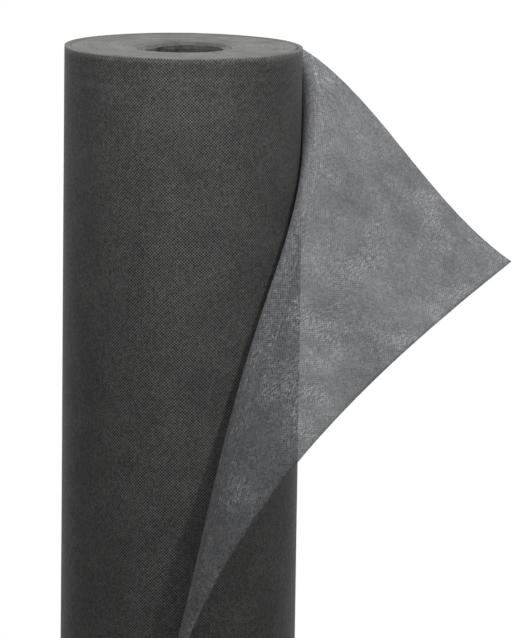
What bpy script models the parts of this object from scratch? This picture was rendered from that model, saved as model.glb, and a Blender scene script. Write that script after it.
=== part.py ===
"""A roll of spunbonded crop fleece standing on end, the free corner of its last turn peeled away.

Metres, +Z up. The roll's axis is Z and z = 0 is the face it stands on. -Y is the front, where
the free edge of the web lies, and the peeled corner reaches out to the right, along +X.
Angles round the roll are degrees from the front towards the right.
"""

import math

import bmesh
import bpy
import numpy as np
from mathutils import Vector
from mathutils.geometry import interpolate_bezier

MM = 0.001

# The roll. Its turns are thinner and closer on the real thing: a turn here is one ply thick, and
# only the loose turns at the rim and at the bore are wound, over a plain body of tight turns.
ROLL_HEIGHT = 800 * MM
ROLL_RADIUS = 76 * MM
PLY = 0.5 * MM
TURN_GAP = 0.45 * MM
RIM_TURNS = 4
BORE_TURNS = 4
# Loose turns stop this far short of the two faces that the tight turns make.
TURN_SETBACK = 0.4 * MM
# The end face sinks towards the bore, where the first turns have slackened.
DISH_DEPTH = 0.8 * MM
DISH_WIDTH = 14 * MM
BORE_SINK = 0.6 * MM

# The winding tube, cut a little shorter than the web is wide.
TUBE_RADIUS = 25 * MM
TUBE_WALL = 6 * MM
TUBE_SETBACK = 8 * MM
TUBE_CLEARANCE = 0.3 * MM

# Neighbouring pieces of the one web meet face to face across this gap.
JOIN_GAP = 0.35 * MM
HINGE_GAP = 0.5 * MM

# The peeled corner. The free edge runs straight up the front of the roll, leaves it PEEL_DEPTH
# below the top, swings out over the front and climbs to the tip, out on the right.
FREE_EDGE_DEG = -18
PEEL_DEPTH = 560 * MM
EDGE_LIFT = 190 * MM
SHOULDER_RIGHT = 30 * MM
SHOULDER_OUT = 124 * MM
SHOULDER_DROP = 238 * MM
TIP_OUT = 136 * MM
TIP_BACK = 27 * MM
TIP_DROP = 140 * MM
# Read at the foot of the peel, at a third and two thirds of the way up, and at the top: how far
# round from the free edge the web leaves the roll, how far it has turned over by the time it
# reaches the free edge, and how long it holds each of those directions.
LEAVE_DEG = (0, 22, 53, 150)
TURN_DEG = (0, 150, 200, 190)
LEAVE_HOLD_SHARES = (0.18, 0.18, 0.10, 0.30)
EDGE_HOLD_SHARES = (0.35, 0.35, 0.50, 0.37)
# The peel is drawn from the row of the web that stands this far off its foot.
FIRST_ROW = 6 * MM

# The corner bends on one straight line of the web, from a place on the top edge to a place on
# the free edge, given as shares of those edges.
HINGE_TOP_SHARE = 0.22
HINGE_FOOT_SHARE = 0.69
# The web is drawn flat to that line over this length on each side of it.
HINGE_FLAT = 40 * MM
# The corner starts where it is this wide.
CORNER_START = 4 * MM

# The seam of a turned ring closes over this distance, and edges sharper than this stay sharp.
MERGE_DISTANCE = 0.01 * MM
SHARP_DEG = 40

TUBE_STEPS = 40
BODY_STEPS = 80
TURN_STEPS = 40
PEEL_ROWS = 24
PEEL_COLUMNS = 14
CORNER_ROWS = 12
CORNER_COLUMNS = 12
CURVE_STEPS = 160

TURN_PITCH = PLY + TURN_GAP
RIM_MID_RADIUS = ROLL_RADIUS - PLY / 2
BODY_RADIUS = ROLL_RADIUS - RIM_TURNS * TURN_PITCH - PLY - TURN_GAP
BORE_MID_RADIUS = TUBE_RADIUS + TUBE_CLEARANCE + PLY / 2
BODY_BORE = BORE_MID_RADIUS + BORE_TURNS * TURN_PITCH + PLY / 2 + TURN_GAP
WEB_TOP = ROLL_HEIGHT - TURN_SETBACK

FREE_EDGE = math.radians(FREE_EDGE_DEG)
FULL_TURN = 2 * math.pi

FLEECE = (0.052, 0.052, 0.050)
FLEECE_BACK = (0.215, 0.215, 0.215)
END_GREY = (0.17, 0.17, 0.165)
BOARD = (0.33, 0.235, 0.15)


def material(name, colour, roughness):
    made = bpy.data.materials.new(name)
    made.use_nodes = True
    shader = made.node_tree.nodes["Principled BSDF"]
    shader.inputs["Base Color"].default_value = (*colour, 1)
    shader.inputs["Roughness"].default_value = roughness
    shader.inputs["Metallic"].default_value = 0
    made.diffuse_color = (*colour, 1)
    return made


def place(name, mesh, collection, surface, location=(0, 0, 0)):
    made = bpy.data.objects.new(name, mesh)
    made.location = location
    made.data.materials.append(surface)
    collection.objects.link(made)
    return made


def round_the_roll(radius, angle, height):
    """The point at this radius, angle and height. Angle 0 is the front, and it grows to the right."""
    return Vector((radius * math.sin(angle), -radius * math.cos(angle), height))


def smooth(stations, share):
    """A curve through evenly spaced stations that never overshoots them, read at a share of its length."""
    steps = np.diff(stations)
    slopes = np.empty(len(stations))
    for i in range(1, len(stations) - 1):
        before, after = steps[i - 1], steps[i]
        slopes[i] = 2 * before * after / (before + after) if before * after > 0 else 0
    for end, near, far in ((0, steps[0], steps[1]), (-1, steps[-1], steps[-2])):
        slope = (3 * near - far) / 2
        if slope * near <= 0:
            slope = 0
        elif near * far < 0 and abs(slope) > 3 * abs(near):
            slope = 3 * near
        slopes[end] = slope
    place_along = share * len(steps)
    i = min(int(place_along), len(steps) - 1)
    t = place_along - i
    return (
        stations[i] * (1 + 2 * t) * (1 - t) ** 2
        + slopes[i] * t * (1 - t) ** 2
        + stations[i + 1] * t * t * (3 - 2 * t)
        + slopes[i + 1] * t * t * (t - 1)
    )


class Path:
    """A line of points that can be read by the length along it."""

    def __init__(self, points):
        self.points = np.array([tuple(point) for point in points])
        steps = np.linalg.norm(np.diff(self.points, axis=0), axis=1)
        self.lengths = np.concatenate([[0], np.cumsum(steps)])
        self.length = self.lengths[-1]

    def at(self, length):
        return Vector([np.interp(length, self.lengths, self.points[:, k]) for k in range(3)])

    def heading(self, length):
        reach = self.length / CURVE_STEPS
        ahead, behind = min(length + reach, self.length), max(length - reach, 0)
        return (self.at(ahead) - self.at(behind)).normalized()


def web_radius(angle):
    """The middle of the last turns, which close in by one pitch for each turn back from the free edge."""
    return RIM_MID_RADIUS - TURN_PITCH * (angle - FREE_EDGE) / FULL_TURN


def free_edge():
    """The lifted free edge, from the roll up to the tip."""
    foot = round_the_roll(RIM_MID_RADIUS, FREE_EDGE, WEB_TOP - PEEL_DEPTH)
    upright = foot + Vector((0, 0, EDGE_LIFT))
    shoulder = Vector((SHOULDER_RIGHT, -ROLL_RADIUS - SHOULDER_OUT, WEB_TOP - SHOULDER_DROP))
    tip = Vector((ROLL_RADIUS + TIP_OUT, TIP_BACK, WEB_TOP - TIP_DROP))
    return Path(interpolate_bezier(foot, upright, shoulder, tip, CURVE_STEPS))


def leaving_angle(share):
    return FREE_EDGE + math.radians(smooth(LEAVE_DEG, share))


def web_row(edge, share):
    """One level line of the web, from where it leaves the roll to the free edge, this share of the peel up."""
    angle = leaving_angle(share)
    start = round_the_roll(web_radius(angle), angle, WEB_TOP - PEEL_DEPTH * (1 - share))
    flat_length = web_radius(angle) * (angle - FREE_EDGE)
    along = -Vector((math.cos(angle), math.sin(angle), 0))
    end = edge.at(edge.length * share)
    first = -Vector((math.cos(FREE_EDGE), math.sin(FREE_EDGE), 0))
    outward = round_the_roll(1, FREE_EDGE, 0)
    turned = math.radians(smooth(TURN_DEG, share))
    tilt = Vector((0, 0, 1)).rotation_difference(edge.heading(edge.length * share))
    arriving = tilt @ (first * math.cos(turned) + outward * math.sin(turned))
    leave_hold = flat_length * smooth(LEAVE_HOLD_SHARES, share)
    edge_hold = flat_length * smooth(EDGE_HOLD_SHARES, share)
    points = interpolate_bezier(
        start, start + along * leave_hold, end - arriving * edge_hold, end, CURVE_STEPS
    )
    return Path(points)


class HingeLine:
    """The straight line of the web that the corner bends on."""

    def __init__(self, edge):
        top_row = web_row(edge, 1)
        self.foot = edge.at(edge.length * HINGE_FOOT_SHARE)
        self.top = top_row.at(top_row.length * HINGE_TOP_SHARE)
        self.axis = (self.top - self.foot).normalized()
        across = top_row.heading(top_row.length * HINGE_TOP_SHARE)
        self.across = (across - self.axis * across.dot(self.axis)).normalized()
        self.normal = self.axis.cross(self.across)

    def crossing(self, row):
        """The length along the row at which it passes the line."""
        past = (row.points - np.array(self.top)) @ np.array(self.across)
        return float(np.interp(0, past, row.lengths))

    def flattened(self, row):
        """The row, drawn to the line where it passes it, and the length at which it does."""
        crossing = self.crossing(row)
        off = (row.at(crossing) - self.top).dot(self.normal)
        behind = min(HINGE_FLAT, crossing)
        nearness = np.where(
            row.lengths < crossing,
            (row.lengths - crossing) / behind,
            (row.lengths - crossing) / HINGE_FLAT,
        )
        pull = off * np.cos(np.clip(nearness, -1, 1) * math.pi / 2) ** 2
        drawn = Path(row.points - pull[:, None] * np.array(self.normal))
        return drawn, self.crossing(drawn)


def row_shares(edge):
    """Rows closer together where the web leaves the roll quickly, with one at the hinge line's foot."""
    lowest = next(
        share
        for share in np.linspace(0, 1, CURVE_STEPS)
        if web_radius(leaving_angle(share)) * (leaving_angle(share) - FREE_EDGE) > FIRST_ROW
    )
    fine = np.linspace(lowest, 1, CURVE_STEPS)
    rise = np.array([smooth(LEAVE_DEG, share) / LEAVE_DEG[-1] + share for share in fine])
    shares = np.interp(np.linspace(rise[0], rise[-1], PEEL_ROWS), rise, fine)
    shares[np.abs(shares - HINGE_FOOT_SHARE).argmin()] = HINGE_FOOT_SHARE
    return shares


def corner_foot(edge, hinge):
    """The lowest row that reaches past the hinge line by as much as the corner is wide at its start."""
    for share in np.linspace(HINGE_FOOT_SHARE, 1, CURVE_STEPS)[1:]:
        row, crossing = hinge.flattened(web_row(edge, share))
        if row.length - crossing > CORNER_START:
            return share


def sheet(name, rows, collection, surface, location=(0, 0, 0)):
    """One piece of the web: a grid of points, each row as long as the others, given its thickness."""
    mesh = bpy.data.meshes.new(name)
    shell = bmesh.new()
    grid = [[shell.verts.new(Vector(point) - Vector(location)) for point in row] for row in rows]
    for low, high in zip(grid, grid[1:]):
        for a, b, c, d in zip(low, low[1:], high[1:], high):
            shell.faces.new((a, b, c, d))
    bmesh.ops.recalc_face_normals(shell, faces=shell.faces)
    shell.to_mesh(mesh)
    shell.free()
    made = place(name, mesh, collection, surface, location)
    thickness = made.modifiers.new("Ply", "SOLIDIFY")
    thickness.thickness = PLY
    thickness.offset = 0
    mesh.shade_smooth()
    mesh.set_sharp_from_angle(angle=math.radians(SHARP_DEG))
    return made


def evenly(row, start, end, columns):
    return [row.at(length) for length in np.linspace(start, end, columns + 1)]


def turned(name, profile, steps, collection, surface):
    """A ring from its (radius, height) section, which runs down its outer side."""
    mesh = bpy.data.meshes.new(name)
    section = bmesh.new()
    corners = [section.verts.new((radius, 0, height)) for radius, height in profile]
    for a, b in zip(corners, corners[1:] + corners[:1]):
        section.edges.new((a, b))
    section.to_mesh(mesh)
    section.free()
    made = place(name, mesh, collection, surface)
    screw = made.modifiers.new("Turn", "SCREW")
    screw.steps = screw.render_steps = steps
    screw.use_merge_vertices = True
    screw.merge_threshold = MERGE_DISTANCE
    screw.use_smooth_shade = False
    return made


def spiral(start_angle, start_radius, turns):
    """Angles and radii of a winding that closes in by one pitch for each turn."""
    steps = turns * TURN_STEPS
    for step in range(steps + 1):
        angle = FULL_TURN * turns * step / steps
        yield start_angle + angle, start_radius - TURN_PITCH * angle / FULL_TURN


def least_gap(winding):
    """The least clear space between neighbouring turns, measured from points to straight runs."""
    plan = np.array([(radius * math.sin(angle), -radius * math.cos(angle)) for angle, radius in winding])
    angles = np.array([angle for angle, _ in winding])
    starts, runs = plan[:-1], np.diff(plan, axis=0)
    least = math.inf
    for point, angle in zip(plan, angles):
        apart = np.abs(angles[:-1] - angle) > FULL_TURN / 2
        if not apart.any():
            continue
        start, run = starts[apart], runs[apart]
        share = np.clip(((point - start) * run).sum(1) / (run * run).sum(1), 0, 1)
        least = min(least, np.linalg.norm(start + run * share[:, None] - point, axis=1).min())
    return least - PLY


def upright_strip(name, winding, bottom, top, collection, surface):
    """A winding of web between two heights, the top one given by the share along the winding."""
    last = len(winding) - 1
    rows = [
        [round_the_roll(radius, angle, bottom) for angle, radius in winding],
        [round_the_roll(radius, angle, top(i / last)) for i, (angle, radius) in enumerate(winding)],
    ]
    return sheet(name, rows, collection, surface)


def outer_ply(shares, collection, surface):
    """The last turn, up to where its corner has left the roll, and below that to the free edge."""
    gap_angle = JOIN_GAP / RIM_MID_RADIUS
    foot_top = WEB_TOP - PEEL_DEPTH * (1 - shares[0]) - JOIN_GAP
    columns = [(FREE_EDGE, foot_top), (leaving_angle(shares[0]) + gap_angle, foot_top)]
    for share in shares[1:]:
        columns.append((leaving_angle(share) + gap_angle, WEB_TOP - PEEL_DEPTH * (1 - share)))
    last_leaving = columns[-1][0]
    turn_end = FREE_EDGE + FULL_TURN - gap_angle
    steps = int(TURN_STEPS * (turn_end - last_leaving) / FULL_TURN) + 1
    for angle in np.linspace(last_leaving, turn_end, steps + 1)[1:]:
        columns.append((angle, WEB_TOP))
    rows = [
        [round_the_roll(web_radius(angle), angle, TURN_SETBACK) for angle, _ in columns],
        [round_the_roll(web_radius(angle), angle, top) for angle, top in columns],
    ]
    return sheet("outer_ply", rows, collection, surface)


def main():
    for stale in list(bpy.data.objects):
        bpy.data.objects.remove(stale, do_unlink=True)
    roll = bpy.data.collections.new("fleece_roll")
    bpy.context.scene.collection.children.link(roll)
    fleece = material("fleece_face", FLEECE, 0.75)
    fleece_back = material("fleece_back", FLEECE_BACK, 0.6)
    fleece_ends = material("fleece_ends", END_GREY, 0.9)
    board = material("winding_board", BOARD, 0.85)

    tube_bore = TUBE_RADIUS - TUBE_WALL
    tube_top = ROLL_HEIGHT - TUBE_SETBACK
    turned(
        "winding_tube",
        [(TUBE_RADIUS, tube_top), (TUBE_RADIUS, TUBE_SETBACK), (tube_bore, TUBE_SETBACK), (tube_bore, tube_top)],
        TUBE_STEPS,
        roll,
        board,
    )
    turned(
        "tight_turns",
        [
            (BODY_RADIUS, ROLL_HEIGHT),
            (BODY_RADIUS, 0),
            (BODY_BORE, 0),
            (BODY_BORE, ROLL_HEIGHT - DISH_DEPTH),
            (BODY_BORE + DISH_WIDTH / 3, ROLL_HEIGHT - DISH_DEPTH / 3),
            (BODY_BORE + DISH_WIDTH, ROLL_HEIGHT),
        ],
        BODY_STEPS,
        roll,
        fleece_ends,
    )

    bore_winding = list(spiral(0, BODY_BORE - TURN_GAP - PLY / 2, BORE_TURNS))
    upright_strip(
        "bore_turns",
        bore_winding,
        TURN_SETBACK,
        lambda share: ROLL_HEIGHT - DISH_DEPTH - BORE_SINK * share,
        roll,
        fleece_ends,
    )
    rim_start = FREE_EDGE + FULL_TURN
    rim_winding = list(spiral(rim_start, web_radius(rim_start), RIM_TURNS - 1))
    upright_strip("rim_turns", rim_winding, TURN_SETBACK, lambda share: WEB_TOP, roll, fleece)

    edge = free_edge()
    hinge = HingeLine(edge)
    shares = row_shares(edge)
    outer_ply(shares, roll, fleece)

    peeled = []
    for share in shares:
        row, end = web_row(edge, share), 0
        if share > HINGE_FOOT_SHARE:
            row, crossing = hinge.flattened(row)
            end = row.length - crossing + HINGE_GAP / 2
        peeled.append(evenly(row, 0, row.length - end, PEEL_COLUMNS))
    corner = []
    for share in np.linspace(corner_foot(edge, hinge), 1, CORNER_ROWS):
        row, crossing = hinge.flattened(web_row(edge, share))
        corner.append(evenly(row, crossing + HINGE_GAP / 2, row.length, CORNER_COLUMNS))
    sheet("peeled_ply", peeled, roll, fleece_back)
    sheet("loose_corner", corner, roll, fleece_back, hinge.foot)

    print(f"least gap between rim turns {least_gap(rim_winding) / MM:.3f} mm")
    print(f"least gap between bore turns {least_gap(bore_winding) / MM:.3f} mm")
    print(f"free edge {edge.length / MM:.1f} mm along a peel {PEEL_DEPTH / MM:.1f} mm deep")
    print("hinge foot", [round(value, 5) for value in hinge.foot], "axis", [round(v, 5) for v in hinge.axis])
    print("hinge top", [round(value, 5) for value in hinge.top], "rows", len(peeled), len(corner))


main()
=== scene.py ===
import math
import random

import bmesh
import bpy
import numpy as np
from bpy.props import FloatProperty, FloatVectorProperty, IntProperty, PointerProperty
from mathutils import Matrix, Vector, noise


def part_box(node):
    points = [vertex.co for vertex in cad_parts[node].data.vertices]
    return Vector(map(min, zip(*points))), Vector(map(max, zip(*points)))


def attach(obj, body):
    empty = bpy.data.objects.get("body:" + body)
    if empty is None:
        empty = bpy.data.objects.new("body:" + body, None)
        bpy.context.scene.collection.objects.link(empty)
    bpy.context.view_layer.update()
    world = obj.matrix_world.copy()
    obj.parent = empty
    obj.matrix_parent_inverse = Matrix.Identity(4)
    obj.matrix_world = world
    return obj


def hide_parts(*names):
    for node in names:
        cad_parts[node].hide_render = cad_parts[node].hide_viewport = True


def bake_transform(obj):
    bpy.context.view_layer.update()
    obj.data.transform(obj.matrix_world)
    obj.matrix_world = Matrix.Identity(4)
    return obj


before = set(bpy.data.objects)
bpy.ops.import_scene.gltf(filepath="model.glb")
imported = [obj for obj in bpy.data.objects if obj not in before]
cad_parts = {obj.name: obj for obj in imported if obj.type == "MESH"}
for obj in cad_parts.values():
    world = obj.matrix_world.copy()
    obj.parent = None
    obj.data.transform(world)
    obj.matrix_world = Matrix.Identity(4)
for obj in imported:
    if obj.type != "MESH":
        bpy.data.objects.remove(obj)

# A roll of spunbonded crop fleece standing on end, with the free corner of its last turn peeled
# away. Metres, +Z up, the roll's axis on Z and its foot at z = 0. The front is -Y, and the web's
# angles grow from the front towards the right.

bl_info = {
    "name": "Crop fleece roll",
    "version": (1, 0, 0),
    "blender": (4, 5, 0),
    "location": "3D View > Sidebar > Fleece roll",
    "description": "Builds an upright roll of nonwoven crop fleece with its free corner peeled away",
    "category": "Add Mesh",
}

MM = 0.001
FULL_TURN = 2 * math.pi
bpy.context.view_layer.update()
ROLL_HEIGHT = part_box("tight_turns")[1].z
BODY_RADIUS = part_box("tight_turns")[1].x
TUBE_LOW, TUBE_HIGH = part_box("winding_tube")


def linear(code):
    """A linear colour from an sRGB hex code."""
    parts = [int(code[i : i + 2], 16) / 255 for i in (1, 3, 5)]
    return [p / 12.92 if p <= 0.04045 else ((p + 0.055) / 1.055) ** 2.4 for p in parts]


LENGTH = {"subtype": "DISTANCE", "unit": "LENGTH", "precision": 6}
PLACE = {"subtype": "TRANSLATION", "unit": "LENGTH"}
COLOUR = {"subtype": "COLOR", "min": 0, "max": 1}
POWER = {"subtype": "POWER", "unit": "POWER", "min": 0}


class RollSizes(bpy.types.PropertyGroup):
    height: FloatProperty(
        name="Height", description="Width of the web, which is the height of the standing roll",
        default=ROLL_HEIGHT, min=0.1, **LENGTH)
    radius: FloatProperty(
        name="Radius", description="From the axis to the face of the last turn",
        default=76 * MM, min=0.03, **LENGTH)
    ply: FloatProperty(
        name="Ply", description="Thickness of the web", default=0.5 * MM, min=0.05 * MM, **LENGTH)
    turn_gap: FloatProperty(
        name="Turn gap", description="Clear space between the loose turns",
        default=0.45 * MM, min=0, **LENGTH)
    turn_setback: FloatProperty(
        name="Turn setback", description="How far the loose turns stop short of the end faces",
        default=0.4 * MM, min=0, **LENGTH)
    wound_ply: FloatProperty(
        name="Wound ply", description="Thickness that a wound turn fills, with its loose filaments",
        default=0.84 * MM, min=0.05 * MM, **LENGTH)
    rim_turns: IntProperty(
        name="Rim turns", description="Loose turns at the rim", default=4, min=2, max=12)
    bore_turns: IntProperty(
        name="Bore turns", description="Slack turns round the winding tube",
        default=4, min=1, max=12)
    edge_wander: FloatProperty(
        name="Edge wander", description="How far the web's edges wander up and down as it is wound",
        default=0.35 * MM, min=0, **LENGTH)
    dish_depth: FloatProperty(
        name="Dish depth", description="How far the end face sinks at the bore",
        default=0.8 * MM, min=0, **LENGTH)
    dish_width: FloatProperty(
        name="Dish width", description="Width of the sunken ring round the bore",
        default=14 * MM, min=0, **LENGTH)
    slump: FloatProperty(
        name="Slump", description="How much further the top end has sunk at the left of the bore",
        default=1.6 * MM, min=0, **LENGTH)
    bore_sink: FloatProperty(
        name="Bore sink", description="How much lower the innermost slack turn stands",
        default=0.6 * MM, min=0, **LENGTH)
    tube_wall: FloatProperty(
        name="Tube wall", description="Wall of the winding tube",
        default=6 * MM, min=1 * MM, **LENGTH)
    tube_clearance: FloatProperty(
        name="Tube clearance", description="Between the tube and the first turn",
        default=0.3 * MM, min=0, **LENGTH)


class PeelSizes(bpy.types.PropertyGroup):
    edge_angle: FloatProperty(
        name="Edge angle",
        description="Where the free edge lies on the roll, from the front towards the right",
        default=math.radians(-18), subtype="ANGLE", unit="ROTATION")
    depth: FloatProperty(
        name="Depth", description="From the top edge down to where the free edge leaves the roll",
        default=560 * MM, min=0.05, **LENGTH)
    edge_lift: FloatProperty(
        name="Edge lift", description="How long the leaving edge keeps going straight up",
        default=190 * MM, **LENGTH)
    shoulder: FloatVectorProperty(
        name="Shoulder",
        description="Right of the axis, out from the roll's front and down from the web's top",
        default=(30 * MM, 124 * MM, 238 * MM), **PLACE)
    tip: FloatVectorProperty(
        name="Tip",
        description="Right of the roll's side, back from the axis and down from the web's top",
        default=(136 * MM, 27 * MM, 140 * MM), **PLACE)
    undulation: FloatProperty(
        name="Undulation", description="Height of the broad waves in the hanging web",
        default=1.1 * MM, min=0, **LENGTH)
    crumple: FloatProperty(
        name="Crumple", description="Height of the fine creases in the hanging web",
        default=0.22 * MM, min=0, **LENGTH)
    fibre_count: IntProperty(
        name="Fibres", description="Loose filaments along the cut edges",
        default=520, min=0, max=5000)
    fibre_length: FloatProperty(
        name="Fibre length", description="Longest loose filament",
        default=2.2 * MM, min=0, **LENGTH)


class FleeceLook(bpy.types.PropertyGroup):
    face: FloatVectorProperty(
        name="Face", description="Filaments of the face that is wound outwards",
        default=linear("#5F5F5E"), **COLOUR)
    back: FloatVectorProperty(
        name="Back", description="Filaments of the face that the peeled web shows",
        default=linear("#757678"), **COLOUR)
    bond: FloatVectorProperty(
        name="Bond points", description="Fused points, where the filaments are pressed to film",
        default=linear("#202020"), **COLOUR)
    ends: FloatVectorProperty(
        name="Cut ends", description="Cut edges of the wound turns",
        default=linear("#60605F"), **COLOUR)
    board: FloatVectorProperty(
        name="Tube board", description="Grey board of the winding tube",
        default=linear("#5F564B"), **COLOUR)
    bond_pitch: FloatProperty(
        name="Bond pitch", description="Between rows of bond points",
        default=1.416 * MM, min=0.3 * MM, **LENGTH)
    cover: FloatProperty(
        name="Cover", description="Share of the light that one face of a single ply stops",
        default=0.73, min=0, max=1, subtype="FACTOR")


class StageLook(bpy.types.PropertyGroup):
    floor: FloatVectorProperty(
        name="Floor", description="Pale floor", default=linear("#F2F2F0"), **COLOUR)
    floor_radius: FloatProperty(
        name="Floor radius", description="Where the floor has faded into the backdrop",
        default=1.5, min=0.5, **LENGTH)
    room: FloatProperty(
        name="Room light", description="Even light from all round", default=0.04, min=0)
    key_lamp: FloatProperty(
        name="Key lamp", description="Softbox high up in front, a little to the left",
        default=4.2, **POWER)
    low_lamp: FloatProperty(
        name="Low lamp",
        description="Small softbox low down in front, to the right, which draws the peel's shadow",
        default=2.75, **POWER)
    rear_lamp: FloatProperty(
        name="Rear lamp", description="Softbox high up behind, to the right",
        default=2.7, **POWER)
    back_lamp: FloatProperty(
        name="Back lamp", description="Softbox behind, to the left", default=7.0, **POWER)


GROUPS = {
    "fleece_roll": RollSizes,
    "fleece_peel": PeelSizes,
    "fleece_look": FleeceLook,
    "fleece_stage": StageLook,
}

# Shape of the peel, read at its foot, at a third and two thirds of the way up, and at the top:
# how far round from the free edge the web leaves the roll, how far it has turned over at the free
# edge, and how long it holds each of those directions, as shares of its length.
LEAVE_DEG = (0, 23, 57, 146)
TURN_DEG = (0, 150, 200, 190)
LEAVE_HOLD_SHARES = (0.18, 0.20, 0.36, 0.36)
EDGE_HOLD_SHARES = (0.35, 0.35, 0.50, 0.37)
CURVE_STEPS = 160


def smooth(stations, share):
    """A curve through evenly spaced stations, which never overshoots them, at a share of its length."""
    steps = np.diff(stations)
    slopes = np.empty(len(stations))
    for i in range(1, len(stations) - 1):
        before, after = steps[i - 1], steps[i]
        slopes[i] = 2 * before * after / (before + after) if before * after > 0 else 0
    for end, near, far in ((0, steps[0], steps[1]), (-1, steps[-1], steps[-2])):
        slope = (3 * near - far) / 2
        if slope * near <= 0:
            slope = 0
        elif near * far < 0 and abs(slope) > 3 * abs(near):
            slope = 3 * near
        slopes[end] = slope
    along = share * len(steps)
    i = min(int(along), len(steps) - 1)
    t = along - i
    return (
        stations[i] * (1 + 2 * t) * (1 - t) ** 2
        + slopes[i] * t * (1 - t) ** 2
        + stations[i + 1] * t * t * (3 - 2 * t)
        + slopes[i + 1] * t * t * (t - 1)
    )


def ramp(value, low, high):
    """0 below low, 1 above high and a soft rise between."""
    t = np.clip((value - low) / (high - low), 0, 1)
    return t * t * (3 - 2 * t)


def wave(*at):
    """Smooth noise from -1 to 1, at a place given in its own wavelengths. A number on its own at
    the end of a call picks another part of the noise, so that no two patterns are alike."""
    return noise.noise(Vector((at + (0, 0, 0))[:3]))


def hump(*at):
    """The same noise, from 0 to 1."""
    return (1 + wave(*at)) / 2


class Path:
    """A cubic curve that can be read by the length along it."""

    def __init__(self, a, b, c, d):
        t = np.linspace(0, 1, CURVE_STEPS)[:, None]
        a, b, c, d = (np.array(p) for p in (a, b, c, d))
        self.points = a * (1 - t) ** 3 + 3 * b * t * (1 - t) ** 2 + 3 * c * t * t * (1 - t) + d * t**3
        steps = np.linalg.norm(np.diff(self.points, axis=0), axis=1)
        self.lengths = np.append(0, np.cumsum(steps))
        self.length = self.lengths[-1]

    def at(self, lengths):
        return np.stack([np.interp(lengths, self.lengths, axis) for axis in self.points.T], axis=-1)

    def heading(self, length):
        reach = self.length / CURVE_STEPS
        ahead, behind = self.at([min(length + reach, self.length), max(length - reach, 0)])
        return Vector(ahead - behind).normalized()


class Web:
    """The web as it lies. A place on it is a length from the free edge and a height."""

    def __init__(self, scene):
        self.roll, self.peel = scene.fleece_roll, scene.fleece_peel
        self.mid = self.roll.radius - self.roll.ply / 2
        self.pitch = self.roll.ply + self.roll.turn_gap
        self.top = self.roll.height - self.roll.turn_setback
        self.bottom = self.roll.turn_setback
        shoulder, tip = self.peel.shoulder, self.peel.tip
        foot = self.round_at(0, self.top - self.peel.depth)
        self.edge = Path(
            foot,
            foot + np.array((0, 0, self.peel.edge_lift)),
            (shoulder[0], -self.roll.radius - shoulder[1], self.top - shoulder[2]),
            (self.roll.radius + tip[0], tip[1], self.top - tip[2]),
        )

    def radius(self, turned):
        """The middle of the ply, which closes in by one pitch for each turn from the free edge."""
        return self.mid - self.pitch * turned / FULL_TURN

    def length(self, turned):
        return self.mid * turned - self.pitch * turned * turned / (2 * FULL_TURN)

    def turned(self, length):
        closed_in = self.mid - np.sqrt(self.mid**2 - self.pitch * length * 2 / FULL_TURN)
        return closed_in * FULL_TURN / self.pitch

    def round_at(self, turned, height):
        """Points of the wound web at these angles back from the free edge."""
        angle = self.peel.edge_angle + turned
        radius = self.radius(turned)
        return np.stack(
            [radius * np.sin(angle), -radius * np.cos(angle), height + 0 * angle], axis=-1
        )

    def share_up(self, height):
        """How far up the peel this height of the web is, from 0 at its foot to 1 at the top edge."""
        return 1 - (self.top - height) / self.peel.depth

    def leaving(self, share):
        """The length from the free edge at which the web leaves the roll."""
        return self.length(math.radians(smooth(LEAVE_DEG, share))) if share > 0 else 0.0

    def row(self, share):
        """One level line of the peeled web, from the roll to the free edge."""
        turned = math.radians(smooth(LEAVE_DEG, share))
        angle = self.peel.edge_angle + turned
        start = self.round_at(turned, self.top - self.peel.depth * (1 - share))
        end = self.edge.at(self.edge.length * share)
        flat = self.leaving(share)
        free = self.peel.edge_angle
        along = -np.array((math.cos(angle), math.sin(angle), 0))
        first = Vector((-math.cos(free), -math.sin(free), 0))
        outward = Vector((math.sin(free), -math.cos(free), 0))
        over = math.radians(smooth(TURN_DEG, share))
        tilt = Vector((0, 0, 1)).rotation_difference(self.edge.heading(self.edge.length * share))
        arriving = np.array(tilt @ (first * math.cos(over) + outward * math.sin(over)))
        return Path(
            start,
            start + along * flat * smooth(LEAVE_HOLD_SHARES, share),
            end - arriving * flat * smooth(EDGE_HOLD_SHARES, share),
            end,
        )

    def level(self, lengths, height):
        """Points of the web at one height of it and these lengths from the free edge."""
        points = self.round_at(self.turned(lengths), height)
        share = self.share_up(height)
        leaving = self.leaving(share)
        peeled = lengths < leaving
        if peeled.any():
            row = self.row(share)
            points[peeled] = row.at(row.length * (1 - lengths[peeled] / leaving))
        return points


def collection():
    """The collection that holds the dressed roll."""
    found = bpy.data.collections.get("fleece_roll")
    if found is None:
        found = bpy.data.collections.new("fleece_roll")
        bpy.context.scene.collection.children.link(found)
    return found


def place(name, mesh, materials):
    made = bpy.data.objects.new(name, mesh)
    for surface in materials:
        mesh.materials.append(surface)
    collection().objects.link(made)
    return made


def grid_mesh(name, points, lengths, heights, clear=0, slots=None):
    """An open sheet from rows of points. Each point keeps its place on the flat web: its length
    from the free edge, its height, and how clear of the roll it hangs, from 0 to 1."""
    rows, columns = points.shape[:2]
    mesh = bpy.data.meshes.new(name)
    shell = bmesh.new()
    corners = [[shell.verts.new(point) for point in row] for row in points]
    for i in range(rows - 1):
        for j in range(columns - 1):
            face = shell.faces.new(
                (corners[i][j], corners[i + 1][j], corners[i + 1][j + 1], corners[i][j + 1])
            )
            face.smooth = True
            if slots is not None:
                face.material_index = int(slots[i, j])
    shell.to_mesh(mesh)
    shell.free()
    places = np.zeros_like(points)
    places[..., 0] = lengths[None, :]
    places[..., 1] = heights[:, None]
    places[..., 2] = clear
    web = mesh.attributes.new("web", "FLOAT_VECTOR", "POINT")
    web.data.foreach_set("vector", places.astype(np.float32).ravel())
    return mesh


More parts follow.
